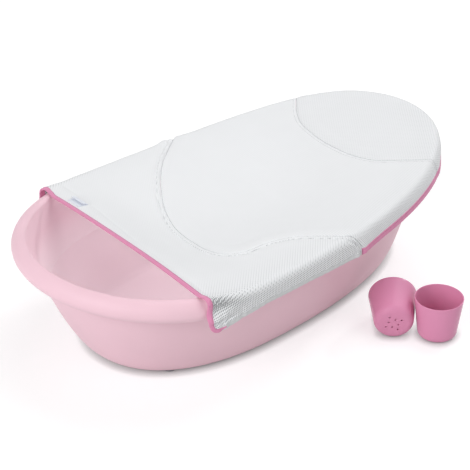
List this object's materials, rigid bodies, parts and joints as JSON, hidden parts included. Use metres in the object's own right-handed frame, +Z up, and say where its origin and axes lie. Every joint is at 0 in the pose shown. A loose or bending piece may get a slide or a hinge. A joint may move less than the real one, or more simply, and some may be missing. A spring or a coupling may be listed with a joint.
{
  "type": "baby bathtub",
  "caption": "Moulded baby bathtub with a rolled rim, a mesh sling stretched over it to carry the baby, and loose rinsing cups.",
  "frame": {"origin": "on the floor, under the middle of the tub's length and width", "axes": "+X along the tub towards the raised head end, +Z up, -Y towards the side where the cups stand"},
  "size_m": [0.8044, 0.5891, 0.2346],
  "materials": {
    "tub_plastic": "satin moulded polypropylene, pale pink",
    "pad_rubber": "matt grey anti-slip rubber",
    "coarse_mesh": "white open spacer mesh",
    "fine_mesh": "white fine warp-knit mesh",
    "head_mesh": "greyish white medium mesh",
    "binding_tape": "deep pink folded binding tape",
    "hem_elastic": "white elastic in its hem",
    "label_cloth": "plain white woven label",
    "cup_plastic": "deep pink moulded polypropylene"
  },
  "bodies": {
    "tub": {"tub_shell": "tub_plastic", "rubber_pad_foot_near": "pad_rubber", "rubber_pad_foot_far": "pad_rubber", "rubber_pad_head_near": "pad_rubber", "rubber_pad_head_far": "pad_rubber"},
    "sling": {"sling_collar_panel": "coarse_mesh", "sling_centre_panel": "fine_mesh", "sling_head_panel": "head_mesh", "foot_binding": "binding_tape", "head_binding": "binding_tape", "near_hem_elastic": "hem_elastic", "far_hem_elastic": "hem_elastic", "foot_hem_elastic": "hem_elastic", "blank_label": "label_cloth"},
    "rinse_cup": {"rinse_cup": "cup_plastic"},
    "sprinkle_cup": {"sprinkle_cup": "cup_plastic"}
  },
  "joints": [
    {"name": "sling_lift", "type": "slide", "parent": "tub", "child": "sling", "axis": [0, 0, 1], "range_m": [0, 0.15]},
    {"name": "rinse_cup_lift", "type": "slide", "parent": "tub", "child": "rinse_cup", "axis": [0, 0, 1], "range_m": [0, 0.2]},
    {"name": "sprinkle_cup_lift", "type": "slide", "parent": "tub", "child": "sprinkle_cup", "axis": [-0.6514, -0.4209, 0.6314], "range_m": [0, 0.2]}
  ]
}
